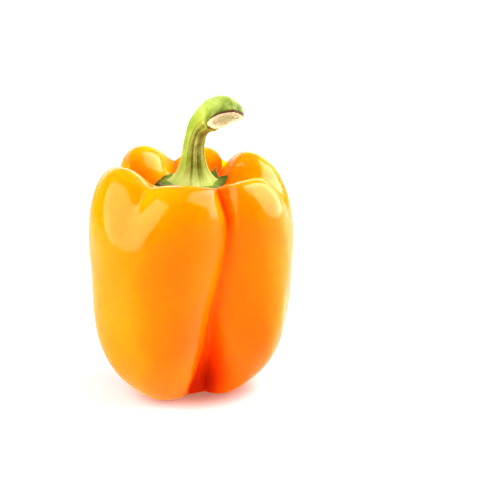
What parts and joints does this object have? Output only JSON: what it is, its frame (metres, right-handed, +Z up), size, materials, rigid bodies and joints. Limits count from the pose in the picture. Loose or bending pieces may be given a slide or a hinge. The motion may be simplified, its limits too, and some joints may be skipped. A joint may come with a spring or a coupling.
{
  "type": "bell pepper",
  "caption": "Orange blocky bell pepper standing on its lobes, with furrowed shoulders, a toothed green calyx and a curved, thick-ended cut stem.",
  "frame": {"origin": "centre of the pepper's footprint, on the surface that it stands on: below the middle of its bounding box", "axes": "+Z up along the fruit's axis to the stem; -Y towards the viewer of the picture; +X to the viewer's right, the side that the stem bends towards"},
  "size_m": [0.0798, 0.0808, 0.123],
  "materials": {
    "skin": "glossy, waxy, smooth",
    "stem": "satin, ridged, fibrous"
  },
  "bodies": {
    "root": {"fruit": "skin", "stem_and_calyx": "stem"}
  },
  "joints": []
}
